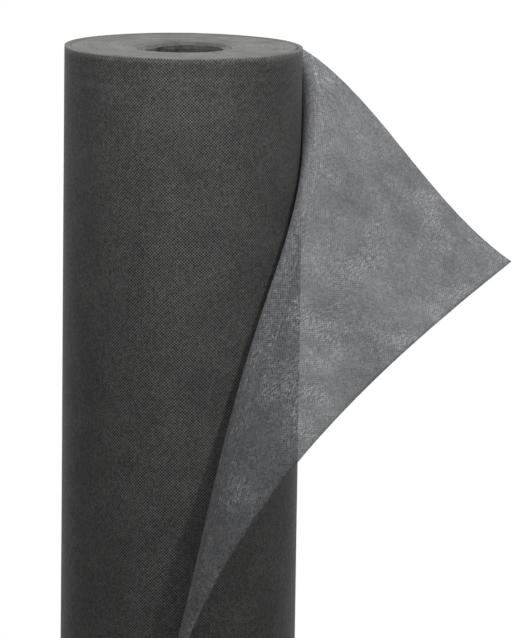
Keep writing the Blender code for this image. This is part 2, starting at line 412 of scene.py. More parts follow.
def give_ply(piece, roll, back=0, rim=1):
    """Gives a sheet its thickness. The web's place attribute says how clear of the roll it hangs,
    and there it has the thickness of a single ply; back and rim shift the material's index."""
    hanging = [entry.vector.z for entry in piece.data.attributes["web"].data]
    wound = piece.vertex_groups.new(name="wound")
    for i, clear in enumerate(hanging):
        wound.add([i], 1 - clear, "REPLACE")
    ply = piece.modifiers.new("Ply", "SOLIDIFY")
    ply.thickness = roll.wound_ply
    ply.offset = 0
    ply.vertex_group = wound.name
    ply.thickness_vertex_group = roll.ply / roll.wound_ply
    ply.material_offset = back
    ply.material_offset_rim = rim
    ply.use_quality_normals = True


def add(tree, kind, settings=None, **links):
    """Adds a node. settings sets its properties and, by their names or numbers, its plain inputs.
    links joins other outputs to the inputs whose names or numbers they are given under, with _ for
    a space and before a number. A node that is given there stands for its first output."""
    node = tree.nodes.new("ShaderNode" + kind)
    for name, value in (settings or {}).items():
        if name in node.inputs:
            node.inputs[name].default_value = value
        elif name.isdigit():
            node.inputs[int(name)].default_value = value
        else:
            setattr(node, name, value)
    for name, source in links.items():
        key = name.strip("_")
        socket = node.inputs[int(key)] if key.isdigit() else node.inputs[name.replace("_", " ")]
        if isinstance(source, bpy.types.Node):
            source = source.outputs[0]
        tree.links.new(source, socket)
    return node


def new_material(name):
    made = bpy.data.materials.get(name)
    if made is None:
        made = bpy.data.materials.new(name)
    made.use_nodes = True
    made.node_tree.nodes.clear()
    return made


POLYPROPYLENE_IOR = 1.49
BOARD_IOR = 1.5
# Loose filaments scatter most of the shine that the smooth plastic has.
FELT_SHINE = 0.07
CUT_EDGE_SHINE = 0.12
BOND_ROWS_LEAN = math.radians(45)
PIT_DEPTH = 0.12 * MM
# Widest clouds in the web, its grain where it is wound and where it hangs, and the patches of its
# painted highlight.
CLOUD_SIZE, WOUND_GRAIN, HANGING_GRAIN, PATCH_SIZE = 34 * MM, 1.9 * MM, 1.3 * MM, 26 * MM
# How much more or less of the light a single ply stops in its clouds.
UNEVEN_COVER = 0.06
# Where the noise that lays the patches of painted highlight is read from, and what share of that
# painted highlight shows outside them.
GLINT_PATCHES_FROM, GLINT_OUTSIDE_PATCHES = (0.822, 0.426, 0), 0.12
# Leans and sizes of the pale strokes that the painted highlight is drawn in.
GLINT_STROKE_LEANS_DEG = (-28, 52)
GLINT_STROKE_WIDTH, GLINT_STROKE_LENGTH = 0.75 * MM, 3.2 * MM
RIPPLE_LENGTH, RIPPLE_PITCH, RIPPLE_LIFT = 55 * MM, 7 * MM, 0.9 * MM
# How far below the top edge the ripples have gone, and how far below it they are still whole.
RIPPLES_END, RIPPLES_WHOLE = 48 * MM, 8 * MM


def bond_points(tree, web, look, pressed):
    """How deep each place is pressed, and a number from 0 to 1 that differs from point to point."""
    scale = (1 / look.bond_pitch,) * 3
    lattice = add(tree, "Mapping", {"Rotation": (0, 0, BOND_ROWS_LEAN), "Scale": scale}, Vector=web)
    flat = add(tree, "VectorMath", {"operation": "MULTIPLY", "1": (1, 1, 0)}, _0=lattice)
    dots = add(
        tree,
        "TexVoronoi",
        {"voronoi_dimensions": "2D", "Scale": 1, "Randomness": 0.12},
        Vector=flat,
    )
    rim = {"From Min": 0.3, "From Max": 0.5, "To Min": pressed, "To Max": 0}
    pit = add(tree, "MapRange", {"interpolation_type": "SMOOTHSTEP", **rim}, Value=dots)
    number = add(tree, "SeparateColor", Color=dots.outputs["Color"])
    return pit, number


def painted_filament_glints(tree, web, painted_glints):
    """A painted highlight: short pale strokes in the colour, in patches of 10 to 30 mm, where filaments
    that lie straight would catch the light. The strokes are drawn coarser than the filaments are, so
    that they show."""
    patchy = add(tree, "Mapping", {"Location": GLINT_PATCHES_FROM}, Vector=web)
    patch = add(tree, "TexNoise", {"Scale": 1 / PATCH_SIZE, "Detail": 3}, Vector=patchy)
    least = GLINT_OUTSIDE_PATCHES * painted_glints
    shine = {"From Min": 0.47, "From Max": 0.66, "To Min": least, "To Max": painted_glints}
    patch = add(tree, "MapRange", shine, Value=patch)
    strokes = []
    for lean in GLINT_STROKE_LEANS_DEG:
        laid = add(
            tree,
            "Mapping",
            {
                "Rotation": (0, 0, math.radians(lean)),
                "Scale": (1 / GLINT_STROKE_WIDTH, 1 / GLINT_STROKE_LENGTH, 1),
            },
            Vector=web,
        )
        strokes.append(add(tree, "TexNoise", {"Scale": 1, "Detail": 1}, Vector=laid))
    stroke = add(tree, "Math", {"operation": "MAXIMUM"}, _0=strokes[0], _1=strokes[1])
    stroke = add(tree, "MapRange", {"From Min": 0.5, "From Max": 0.74}, Value=stroke)
    return add(tree, "Math", {"operation": "MULTIPLY_ADD", "2": 1.0}, _0=stroke, _1=patch)


def ripples(tree, web, top):
    """Below its top edge the wound web lies in faint level ripples."""
    scale = (1 / RIPPLE_LENGTH, 1 / RIPPLE_PITCH, 1)
    drawn = add(tree, "Mapping", {"Scale": scale}, Vector=web)
    ripple = add(tree, "TexNoise", {"Scale": 1, "Detail": 1}, Vector=drawn)
    band = {"From Min": top - RIPPLES_END, "From Max": top - RIPPLES_WHOLE, "To Max": 1}
    height = add(tree, "SeparateXYZ", Vector=web).outputs["Y"]
    fade = add(tree, "MapRange", {"interpolation_type": "SMOOTHSTEP", **band}, Value=height)
    ripple = add(tree, "Math", {"operation": "MULTIPLY"}, _0=ripple, _1=fade)
    return add(tree, "Bump", {"Strength": 1, "Distance": RIPPLE_LIFT}, Height=ripple)


# Spunbonded polypropylene: endless filaments of about 0.02 mm laid at random and pressed together
# at a lattice of bond points. It gives the eye a matt, slightly cloudy felt, dark pits in diagonal
# rows where the filaments are fused to film, and a faint shine on the filaments, partly a real gloss
# and partly a highlight painted into the colour as pale strokes. The filaments are
# too fine to show, so their grain is drawn tens of times coarser.
def fleece_material(name, look, fibres, pressed, hanging, speckle, painted_glints, rippled_to=0):
    """pressed is how far the bond points show, hanging whether this is web that comes clear of the
    roll, speckle how uneven the felt is, glints how strong the highlight is that is painted on its
    straight filaments, and rippled_to the height of the top edge that it has ripples below, if it has
    any."""
    made = new_material(name)
    tree = made.node_tree
    web = add(tree, "Attribute", {"attribute_name": "web"}).outputs["Vector"]
    pit, point = bond_points(tree, web, look, pressed)
    # Formation: the cloudiness of a web whose filaments were laid unevenly, over 2 to 34 mm.
    formation = {"Scale": 1 / CLOUD_SIZE, "Detail": 4, "Roughness": 0.62}
    cloud = add(tree, "TexNoise", formation, Vector=web)
    clouds = {"From Min": 0.3, "From Max": 0.7}
    cloudy = add(tree, "MapRange", {**clouds, "To Min": 0.86, "To Max": 1.16}, Value=cloud)
    grain_size = HANGING_GRAIN if hanging else WOUND_GRAIN
    felt = {"Scale": 1 / grain_size, "Detail": 2, "Roughness": 0.65}
    grain = add(tree, "TexNoise", felt, Vector=web)
    shades = {"To Min": 1 - speckle, "To Max": 1 + speckle}
    speck = add(tree, "MapRange", {"From Min": 0.25, "From Max": 0.75, **shades}, Value=grain)
    uneven = add(tree, "MapRange", shades, Value=point)
    shade = cloudy
    # The last part lightens the colour with the painted highlight of the straight filaments.
    for part in (speck, uneven, painted_filament_glints(tree, web, painted_glints)):
        shade = add(tree, "Math", {"operation": "MULTIPLY"}, _0=shade, _1=part)
    colours = {"data_type": "RGBA", "6": (*fibres, 1), "7": (*look.bond, 1)}
    colour = add(tree, "Mix", colours, _0=pit).outputs[2]
    tinted = add(tree, "VectorMath", {"operation": "SCALE"}, Vector=colour, Scale=shade)
    rough = add(tree, "MapRange", {"To Min": 0.6, "To Max": 0.45}, Value=pit)
    lift = add(tree, "Math", {"operation": "MULTIPLY_ADD", "1": -1.0}, _0=pit, _2=grain)
    bump = add(tree, "Bump", {"Strength": 0.6, "Distance": PIT_DEPTH}, Height=lift)
    if rippled_to:
        tree.links.new(ripples(tree, web, rippled_to).outputs[0], bump.inputs["Normal"])
    shader = add(
        tree,
        "BsdfPrincipled",
        {"IOR": POLYPROPYLENE_IOR, "Specular IOR Level": FELT_SHINE},
        Base_Color=tinted,
        Roughness=rough,
        Normal=bump,
    )
    if hanging:
        # A single ply lets light through, and a little more where its clouds are pale.
        clear = add(tree, "SeparateXYZ", Vector=web).outputs["Z"]
        most, least = look.cover + UNEVEN_COVER, look.cover - UNEVEN_COVER
        cover = add(tree, "MapRange", {**clouds, "To Min": most, "To Max": least}, Value=cloud)
        alpha = add(tree, "Mix", {"data_type": "FLOAT", "2": 1.0}, _0=clear, _3=cover)
        tree.links.new(alpha.outputs[0], shader.inputs["Alpha"])
    add(tree, "OutputMaterial", Surface=shader)
    return made


# The turns are 0.4 mm apart, too fine to show, so each ring drawn on the end faces stands for two.
RING_PITCH = 0.8 * MM
FLUFF_SIZE, FLUFF_LIFT, END_PATCH_SIZE = 0.9 * MM, 0.2 * MM, 16 * MM


# The same fleece, slit by a rotary knife: the cut edges of many turns seen end on. They give the
# eye a paler, felted grey with faint rings where some turns stand a little proud.
def cut_ends_material(name, look):
    made = new_material(name)
    tree = made.node_tree
    at = add(tree, "TexCoord").outputs["Object"]
    apart = add(tree, "SeparateXYZ", Vector=at)
    level = add(tree, "CombineXYZ", X=apart.outputs["X"], Y=apart.outputs["Y"])
    radius = add(tree, "VectorMath", {"operation": "LENGTH"}, _0=level).outputs["Value"]
    turns = add(tree, "Math", {"operation": "DIVIDE", "1": RING_PITCH}, _0=radius)
    ringed = {"noise_dimensions": "1D", "Scale": 0.55, "Detail": 3, "Roughness": 0.7}
    rings = add(tree, "TexNoise", ringed, W=turns)
    fluffy = {"Scale": 1 / FLUFF_SIZE, "Detail": 3, "Roughness": 0.75}
    fluff = add(tree, "TexNoise", fluffy, Vector=at)
    patches = add(tree, "TexNoise", {"Scale": 1 / END_PATCH_SIZE, "Detail": 2}, Vector=at)
    both = add(tree, "Math", {"operation": "ADD"}, _0=rings, _1=fluff)
    all_three = add(tree, "Math", {"operation": "ADD"}, _0=both, _1=patches)
    shades = {"From Min": 1.0, "From Max": 2.0, "To Min": 0.56, "To Max": 1.44}
    shade = add(tree, "MapRange", shades, Value=all_three)
    tinted = add(tree, "VectorMath", {"operation": "SCALE", "0": look.ends}, Scale=shade)
    bump = add(tree, "Bump", {"Strength": 0.5, "Distance": FLUFF_LIFT}, Height=fluff)
    shader = add(
        tree,
        "BsdfPrincipled",
        {"IOR": POLYPROPYLENE_IOR, "Roughness": 0.88, "Specular IOR Level": CUT_EDGE_SHINE},
        Base_Color=tinted,
        Normal=bump,
    )
    add(tree, "OutputMaterial", Surface=shader)
    return made


# The board's strips, and the lumps of pulp in its paper.
STRIP_WIDTH, PULP_SIZE, PULP_LIFT = 90 * MM, 2.5 * MM, 0.15 * MM


# Grey board, wound in a spiral from glued strips of recycled paper and cut to length. It gives the
# eye a dull fibrous brown-grey with a fine helical seam.
def board_material(name, look):
    made = new_material(name)
    tree = made.node_tree
    at = add(tree, "TexCoord").outputs["Object"]
    x, y, z = add(tree, "SeparateXYZ", Vector=at).outputs
    angle = add(tree, "Math", {"operation": "ARCTAN2"}, _0=y, _1=x)
    turn = add(tree, "Math", {"operation": "DIVIDE", "1": FULL_TURN}, _0=angle)
    climb = add(tree, "Math", {"operation": "MULTIPLY_ADD", "1": 1 / STRIP_WIDTH}, _0=z, _2=turn)
    strip = add(tree, "Math", {"operation": "FRACT"}, _0=climb)
    joint = {"From Min": 0.0, "From Max": 0.015, "To Min": 0.55, "To Max": 1.0}
    seam = add(tree, "MapRange", joint, Value=strip)
    fibrous = {"Scale": 1 / PULP_SIZE, "Detail": 4, "Roughness": 0.65}
    pulp = add(tree, "TexNoise", fibrous, Vector=at)
    mottles = {"From Min": 0.3, "From Max": 0.7, "To Min": 0.85, "To Max": 1.15}
    mottled = add(tree, "MapRange", mottles, Value=pulp)
    shade = add(tree, "Math", {"operation": "MULTIPLY"}, _0=seam, _1=mottled)
    tinted = add(tree, "VectorMath", {"operation": "SCALE", "0": look.board}, Scale=shade)
    bump = add(tree, "Bump", {"Strength": 0.4, "Distance": PULP_LIFT}, Height=shade)
    paper = {"IOR": BOARD_IOR, "Roughness": 0.85}
    shader = add(tree, "BsdfPrincipled", paper, Base_Color=tinted, Normal=bump)
    add(tree, "OutputMaterial", Surface=shader)
    return made


# Single spun filaments of the same polypropylene: smooth, round and a little shiny.
def filament_material(name, look):
    made = new_material(name)
    tree = made.node_tree
    at = add(tree, "TexCoord").outputs["Object"]
    uneven = add(tree, "TexNoise", {"Scale": 1 / (6 * MM), "Detail": 1}, Vector=at)
    shade = add(tree, "MapRange", {"To Min": 0.7, "To Max": 1.3}, Value=uneven)
    tinted = add(tree, "VectorMath", {"operation": "SCALE", "0": look.back}, Scale=shade)
    smooth_spun = {"IOR": POLYPROPYLENE_IOR, "Roughness": 0.45}
    shader = add(tree, "BsdfPrincipled", smooth_spun, Base_Color=tinted)
    add(tree, "OutputMaterial", Surface=shader)
    return made


def wound_face(scene):
    look, top = scene.fleece_look, scene.fleece_roll.height
    return fleece_material(
        "spunbonded_polypropylene_wound", look, look.face,
        pressed=0.8, hanging=False, speckle=0.24, painted_glints=0.3, rippled_to=top,
    )


def peeled_face(look):
    return fleece_material(
        "spunbonded_polypropylene_peeled_face", look, look.face,
        pressed=0.8, hanging=True, speckle=0.24, painted_glints=0.25,
    )


def peeled_back(look):
    # Its strong glints are a highlight painted into the colour of the hanging web.
    return fleece_material(
        "spunbonded_polypropylene_peeled_back", look, look.back,
        pressed=0.4, hanging=True, speckle=0.22, painted_glints=2.0,
    )


def cut_ends(scene):
    return cut_ends_material("spunbonded_polypropylene_cut_ends", scene.fleece_look)


TUBE_SIDES = 96
# The corners of the tube's ends are broken by this share of its wall.
NICK_SHARE = 1 / 15


class FLEECE_OT_winding_tube(bpy.types.Operator):
    """Makes the spiral-wound board tube inside the roll"""

    bl_idname = "fleece.winding_tube"
    bl_label = "Winding tube"

    def execute(self, context):
        roll = context.scene.fleece_roll
        radius, low, high = TUBE_HIGH.x, TUBE_LOW.z, TUBE_HIGH.z
        bore = radius - roll.tube_wall
        nick = roll.tube_wall * NICK_SHARE
        profile = [
            (radius, high - nick), (radius, low + nick), (radius - nick, low), (bore + nick, low),
            (bore, low + nick), (bore, high - nick), (bore + nick, high), (radius - nick, high),
        ]
        mesh = bpy.data.meshes.new("board_tube")
        section = bmesh.new()
        corners = [section.verts.new((x, 0, z)) for x, z in profile]
        for a, b in zip(corners, corners[1:] + corners[:1]):
            section.edges.new((a, b))
        section.to_mesh(mesh)
        section.free()
        board = board_material("spiral_wound_grey_board", context.scene.fleece_look)
        tube = place("board_tube", mesh, [board])
        turn = tube.modifiers.new("Turn", "SCREW")
        turn.steps = turn.render_steps = TUBE_SIDES
        turn.use_merge_vertices = True
        turn.merge_threshold = 0.01 * MM
        turn.use_smooth_shade = True
        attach(tube, "roll")
        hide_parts("winding_tube")
        return {"FINISHED"}


TOP_END, FOOT_END = 0, 1
END_STEPS = 200
SHARP_FROM = math.radians(60)
# Relief of an end face: grooves between the rings, rings that stand back, and broad dents.
GROOVE_DEPTH, RING_SETBACK, DENT_DEPTH, DENT_WIDTH = 0.16 * MM, 0.4 * MM, 0.4 * MM, 24 * MM
# How much a ring's setback changes from one ring to the next, and round it, in wavelengths.
NEXT_RING, ROUND_RING = 0.31, 0.5
# Which side of the bore has sunk most, from the axis.
SLUMPED_X, SLUMPED_Y = -0.97, 0.24


def slumped(roll, towards):
    """How far the top end has sunk beside the bore, in this direction from the axis."""
    return roll.slump * max(0, towards.x * SLUMPED_X + towards.y * SLUMPED_Y) ** 2


def stands_back(roll, bore, radius, angle, end):
    """How far a place on an end face stands back from the roll's full height."""
    towards = Vector((math.cos(angle), math.sin(angle), 0))
    x, y = radius * math.cos(angle), radius * math.sin(angle)
    beside_bore = max(0, 1 - (radius - bore) / roll.dish_width) ** 2
    turn = (radius - bore) / RING_PITCH + angle / FULL_TURN
    groove = (0.5 - 0.5 * math.cos(FULL_TURN * turn)) * GROOVE_DEPTH
    off_start = min(angle, FULL_TURN - angle)
    ring = hump(math.floor(turn) * NEXT_RING, off_start * ROUND_RING, end) * RING_SETBACK
    dent = hump(x / DENT_WIDTH, y / DENT_WIDTH, end + 7) * DENT_DEPTH
    slump = slumped(roll, towards) if end == TOP_END else 0
    return beside_bore * (roll.dish_depth + slump) + groove + ring + dent


class FLEECE_OT_tight_turns(bpy.types.Operator):
    """Makes the tight turns of the roll, with their cut edges on both end faces"""

    bl_idname = "fleece.tight_turns"
    bl_label = "Tight turns"

    def execute(self, context):
        scene = context.scene
        roll = scene.fleece_roll
        pitch = roll.ply + roll.turn_gap
        bore = TUBE_HIGH.x + roll.tube_clearance + (roll.bore_turns + 1) * pitch
        radii = np.linspace(bore, BODY_RADIUS, int((BODY_RADIUS - bore) / (RING_PITCH / 4)) + 1)
        angles = np.linspace(0, FULL_TURN, END_STEPS, endpoint=False)
        solid = bmesh.new()
        rings = []
        for end, level, inwards, order in (
            (TOP_END, roll.height, -1, radii),
            (FOOT_END, 0, 1, radii[::-1]),
        ):
            for radius in order:
                rings.append([])
                for angle in angles:
                    z = level + inwards * stands_back(roll, bore, radius, angle, end)
                    at = (radius * math.cos(angle), radius * math.sin(angle), z)
                    rings[-1].append(solid.verts.new(at))
        for low, high in zip(rings, rings[1:] + rings[:1]):
            for j in range(END_STEPS):
                k = (j + 1) % END_STEPS
                solid.faces.new((low[j], high[j], high[k], low[k])).smooth = True
        mesh = bpy.data.meshes.new("tight_wound_turns")
        solid.to_mesh(mesh)
        solid.free()
        mesh.set_sharp_from_angle(angle=SHARP_FROM)
        piece = place("tight_wound_turns", mesh, [cut_ends(scene)])
        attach(piece, "roll")
        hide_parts("tight_turns")
        return {"FINISHED"}


BORE_STEPS, SLACK_ROWS = 110, 12
# The first turns are slack from the end face to this far past the end of the tube.
SLACK_PAST_TUBE = 4 * MM
# How far they lean in over the tube: evenly, in folds, and in puckers between the folds. Both
# slant round the bore as they go down.
EVEN_LEAN, FOLD_LEAN, PUCKER_LEAN, SLANT_DEPTH = 0.3 * MM, 2.4 * MM, 2.2 * MM, 5 * MM
# How many wavelengths of the noise the bore's radius stands for in the folds, the puckers and the
# ragged edge, and how much folds and puckers change from one turn to the next.
FOLD_WAVES, PUCKER_WAVES, RAG_WAVES, NEXT_FOLD, NEXT_PUCKER = 4.2, 15, 3, 0.35, 0.4
# How far the ragged edge stands back everywhere, and at most beyond that.
LEAST_RAG, UNEVEN_RAG = 0.4 * MM, 1.6 * MM


def leans_in(at, turns, depth, top):
    """How far a slack turn leans in over the tube where it is wholly loose."""
    slant = depth / SLANT_DEPTH
    x, y = at.x * FOLD_WAVES, at.y * FOLD_WAVES
    fold = wave(x + slant * 0.5, y, top * 5 + turns * NEXT_FOLD)
    x, y = at.x * PUCKER_WAVES, at.y * PUCKER_WAVES
    pucker = wave(x + slant, y, top * 3 + turns * NEXT_PUCKER)
    return EVEN_LEAN + FOLD_LEAN * fold + PUCKER_LEAN * pucker


class FLEECE_OT_bore_turns(bpy.types.Operator):
    """Makes the slack first turns, which have crumpled inwards over the end of the tube"""

    bl_idname = "fleece.bore_turns"
    bl_label = "Bore turns"

    def execute(self, context):
        scene = context.scene
        roll = scene.fleece_roll
        pitch = roll.ply + roll.turn_gap
        inner = TUBE_HIGH.x + roll.tube_clearance + roll.ply / 2
        steps = BORE_STEPS * roll.bore_turns
        turned = np.linspace(0, FULL_TURN * roll.bore_turns, steps + 1)
        radii = inner + pitch * (roll.bore_turns - turned / FULL_TURN)
        lengths = np.append(0, np.cumsum((radii[1:] + radii[:-1]) / 2 * np.diff(turned)))
        shares = turned / turned[-1]
        slack = TUBE_LOW.z + SLACK_PAST_TUBE
        depths = np.append(np.linspace(0, 1, SLACK_ROWS) ** 1.3 * slack, roll.height / 4)
        heights = np.concatenate([depths, [roll.height / 2], roll.height - depths[::-1]])
        points = np.empty((len(heights), len(turned), 3))
        for j, (angle, radius, share) in enumerate(zip(turned, radii, shares)):
            at = Vector((math.sin(angle), -math.cos(angle), 0))
            for i, height in enumerate(heights):
                top = height > roll.height / 2
                depth = roll.height - height if top else height
                ragged = hump(at.x * RAG_WAVES, at.y * RAG_WAVES, 2 + top)
                rag = share * ragged * UNEVEN_RAG + LEAST_RAG
                if top:
                    rag += roll.dish_depth + roll.bore_sink * share + slumped(roll, at)
                else:
                    rag += roll.turn_setback
                loose = max(0, 1 - depth / slack)
                lean = loose**1.5 * share * leans_in(at, angle / FULL_TURN, depth, top)
                now = radius - max(0, lean)
                z = height - rag * loose if top else height + rag * loose
                points[i, j] = (now * at.x, now * at.y, z)
        # The fifth of the slack that is nearest each end is crushed, and looks like a cut edge.
        crushed = (heights[1:] > roll.height - slack / 5) | (heights[:-1] < slack / 5)
        slots = np.repeat(crushed[:, None], steps, axis=1).astype(int)
        mesh = grid_mesh("slack_bore_turns", points, lengths, heights, slots=slots)
        piece = place("slack_bore_turns", mesh, [wound_face(scene), cut_ends(scene)])
        give_ply(piece, roll)
        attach(piece, "roll")
        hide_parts("bore_turns")
        return {"FINISHED"}


# Turns in the piece of web that ends at the free edge. The loose rim turns lie under it.
LAST_TURNS = 1.5
RIM_STEPS = 88
RIM_DEPTHS = np.array((0, 2, 6, 20, 80, 240)) * MM
# How unevenly the web is wound: waves in its edges, and swellings of its face.
LONG_WANDER, SHORT_WANDER = 160 * MM, 45 * MM
SWELLING, SWELLING_ALONG, SWELLING_UP = 0.11 * MM, 50 * MM, 120 * MM


def wind(web, points, lengths, heights, held):
    """Moves points of the wound web up or down, and out or in, from its even winding, as far as
    they are held on the roll, from 0 to 1."""
    lift = np.array([wave(s / LONG_WANDER, 3) + 0.4 * wave(s / SHORT_WANDER, 9) for s in lengths])
    swell = np.array([
        [wave(s / SWELLING_ALONG, height / SWELLING_UP, 5) for s in lengths] for height in heights
    ])
    out = points[..., :2] / np.linalg.norm(points[..., :2], axis=-1, keepdims=True)
    points[..., 2] += held * (lift * web.roll.edge_wander)[None, :]
    points[..., :2] += out * (held * swell * SWELLING)[..., None]


class FLEECE_OT_rim_turns(bpy.types.Operator):
    """Makes the loose turns that lie under the last one"""

    bl_idname = "fleece.rim_turns"
    bl_label = "Rim turns"

    def execute(self, context):
        scene = context.scene
        web = Web(scene)
        start, end = web.length(FULL_TURN * LAST_TURNS), web.length(FULL_TURN * web.roll.rim_turns)
        lengths = np.linspace(start, end, int(RIM_STEPS * (web.roll.rim_turns - LAST_TURNS)) + 1)
        heights = np.concatenate([web.bottom + RIM_DEPTHS, web.top - RIM_DEPTHS[::-1]])
        points = np.array([web.level(lengths, height) for height in heights])
        wind(web, points, lengths, heights, np.ones(points.shape[:2]))
        mesh = grid_mesh("loose_rim_turns", points, lengths, heights)
        piece = place("loose_rim_turns", mesh, [wound_face(scene), cut_ends(scene)])
        give_ply(piece, web.roll)
        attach(piece, "roll")
        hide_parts("rim_turns")
        return {"FINISHED"}


# Steps along the last turn, where it peels and where it doesn't, and up it, below the peel and on
# it. The fine steps go a little past the widest length that has peeled.
PEELED_STEPS, WOUND_STEPS, LOW_ROWS, PEEL_ROWS, PAST_PEEL = 90, 100, 24, 150, 1.06
# The web hangs wholly clear at this length from where it leaves the roll.
CLEAR_AFTER = 30 * MM
# Wavelengths of the hanging web's unevenness, along it and up it: broad waves, the free edge's
# flutter, creases and how they slant, fine creases, and patches where it is more creased.
BROAD_ALONG, BROAD_UP = 75 * MM, 110 * MM
FLUTTER_ALONG, FLUTTER_UP = 9 * MM, 45 * MM
CREASE_ALONG, CREASE_UP, CREASE_SLANT = 11 * MM, 20 * MM, 40 * MM
FINE_ALONG, FINE_UP = 6 * MM, 7 * MM
CREASED_PATCH = 50 * MM
# Heights of the flutter, the fine creases, and the creases outside those patches, as shares.
FLUTTER_SHARE, FINE_SHARE, OUTSIDE_SHARE = 0.5, 0.6, 0.35
# Loose filaments: the share that stands on the free edge, the share of its reach that the shortest
# has, how far one leans, lifts and curls at most for each unit of its reach, how thick it is at the
# root and by what share it thins, and how deep in the web it starts.
FILAMENT_SEED, FREE_EDGE_SHARE, SHORTEST_SHARE = 11, 0.74, 0.25
MOST_LEAN, MOST_LIFT, MOST_CURL = 1.2, 0.5, 0.8
FILAMENT_RADIUS, FILAMENT_TAPER, FILAMENT_ROOT = 0.045 * MM, 0.6, 0.3 * MM
FILAMENT_RINGS, FILAMENT_SIDES = 4, 3


def stands_out(peel, along, up):
    """How far the hanging web stands out of its smooth course, where it is wholly clear."""
    broad = wave(along / BROAD_ALONG, up / BROAD_UP, 1)
    flutter = wave(up / FLUTTER_UP, 2.5) * max(0, 1 - along / FLUTTER_ALONG) ** 2
    crease = wave(along / CREASE_ALONG + up / CREASE_SLANT, up / CREASE_UP, 4)
    crease += FINE_SHARE * wave(along / FINE_ALONG, up / FINE_UP, 8)
    patch = ramp(wave(along / CREASED_PATCH, up / CREASED_PATCH, 12), -0.25, 0.45)
    undulation = peel.undulation * (broad + FLUTTER_SHARE * flutter)
    return undulation + peel.crumple * crease * (OUTSIDE_SHARE + patch)


class FLEECE_OT_last_turn(bpy.types.Operator):
    """Makes the last turn and a half of web, its free corner peeled away, and its loose filaments"""

    bl_idname = "fleece.last_turn"
    bl_label = "Last turn and peeled corner"

    def execute(self, context):
        scene = context.scene
        look = scene.fleece_look
        web = Web(scene)
        fine = web.leaving(1.0) * PAST_PEEL
        end = web.length(FULL_TURN * LAST_TURNS)
        lengths = np.concatenate([
            np.linspace(0, fine, PEELED_STEPS), np.linspace(fine, end, WOUND_STEPS)[1:]
        ])
        foot = web.top - web.peel.depth
        heights = np.concatenate([
            np.linspace(web.bottom, foot, LOW_ROWS)[:-1], np.linspace(foot, web.top, PEEL_ROWS)
        ])
        points = np.array([web.level(lengths, height) for height in heights])
        leaving = np.array([web.leaving(web.share_up(height)) for height in heights])
        off = np.clip(leaving[:, None] - lengths[None, :], 0, None)
        clear = ramp(off, 0, CLEAR_AFTER)
        wind(web, points, lengths, heights, 1 - clear)

        normal = np.cross(np.gradient(points, axis=1), np.gradient(points, axis=0))
        normal /= np.maximum(np.linalg.norm(normal, axis=-1, keepdims=True), 1e-12)
        shift = np.zeros(points.shape[:2])
        for i, j in zip(*np.nonzero(clear)):
            shift[i, j] = clear[i, j] * stands_out(web.peel, lengths[j], heights[i])
        points += normal * shift[..., None]

        # Faces that have peeled take the third material, and on their other side the fourth.
        middle = (lengths[1:] + lengths[:-1]) / 2
        slots = np.where(middle[None, :] < (leaving[1:] + leaving[:-1])[:, None] / 2, 2, 0)
        mesh = grid_mesh("last_turn", points, lengths, heights, clear, slots)
        face = wound_face(scene)
        surfaces = [face, face, peeled_back(look), peeled_face(look), cut_ends(scene)]
        piece = place("last_turn", mesh, surfaces)
        give_ply(piece, web.roll, 1, 4)
        filaments = self.filaments(web, look, points, lengths, heights)
        for part in (piece, filaments):
            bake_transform(part)
        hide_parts("outer_ply", "peeled_ply", "loose_corner")
        return {"FINISHED"}

    def filaments(self, web, look, points, lengths, heights):
        """Loose filaments that stand out from the slit free edge and the top edge of the peel."""
        chance = random.Random(FILAMENT_SEED)
        hair = bmesh.new()
        foot = int(np.searchsorted(heights, web.top - web.peel.depth)) + 2
        last = int(np.searchsorted(lengths, web.leaving(1.0)))
        for _ in range(web.peel.fibre_count):
            if chance.random() < FREE_EDGE_SHARE:
                i, j = chance.randrange(foot, len(heights) - 1), 0
                root = points[i, j] + (points[i + 1, j] - points[i, j]) * chance.random()
                out, along = points[i, 0] - points[i, 1], points[i + 1, 0] - points[i, 0]
            else:
                i, j = len(heights) - 1, chance.randrange(0, last)
                root = points[i, j] + (points[i, j + 1] - points[i, j]) * chance.random()
                out, along = points[i, j] - points[i - 1, j], points[i, j + 1] - points[i, j]
            out, along = Vector(out).normalized(), Vector(along).normalized()
            up = out.cross(along)
            length = SHORTEST_SHARE + (1 - SHORTEST_SHARE) * chance.random() ** 2
            reach = web.peel.fibre_length * length
            lean = chance.uniform(-MOST_LEAN, MOST_LEAN)
            lift = chance.uniform(-MOST_LIFT, MOST_LIFT)
            curl = chance.uniform(-MOST_CURL, MOST_CURL)
            root = Vector(root) - out * FILAMENT_ROOT + up * chance.uniform(-0.4, 0.4) * web.roll.ply
            rings = []
            for k in range(FILAMENT_RINGS):
                t = k / (FILAMENT_RINGS - 1)
                course = out + along * (lean * t + curl * t * t) + up * lift * t
                spine = root + course * reach * t * 0.8
                thick = FILAMENT_RADIUS * (1 - FILAMENT_TAPER * t)
                angles = [FULL_TURN * a / FILAMENT_SIDES for a in range(FILAMENT_SIDES)]
                rings.append([
                    hair.verts.new(spine + (along * math.cos(a) + up * math.sin(a)) * thick)
                    for a in angles
                ])
            for low, high in zip(rings, rings[1:]):
                for a in range(FILAMENT_SIDES):
                    b = (a + 1) % FILAMENT_SIDES
                    hair.faces.new((low[a], low[b], high[b], high[a])).smooth = True
            hair.faces.new(rings[0][::-1])
            hair.faces.new(rings[-1])
        mesh = bpy.data.meshes.new("edge_filaments")
        hair.to_mesh(mesh)
        hair.free()
        spun = filament_material("spun_polypropylene_filament", look)
        return place("edge_filaments", mesh, [spun])


def seen_as_backdrop(tree):
    """1 for rays from the camera and for those that a shiny or clear surface sends on."""
    ray = add(tree, "LightPath").outputs
    seen = add(tree, "Math", {"operation": "MAXIMUM"}, _0=ray["Is Camera Ray"], _1=ray["Is Glossy Ray"])
    return add(tree, "Math", {"operation": "MAXIMUM"}, _0=seen, _1=ray["Is Transmission Ray"])


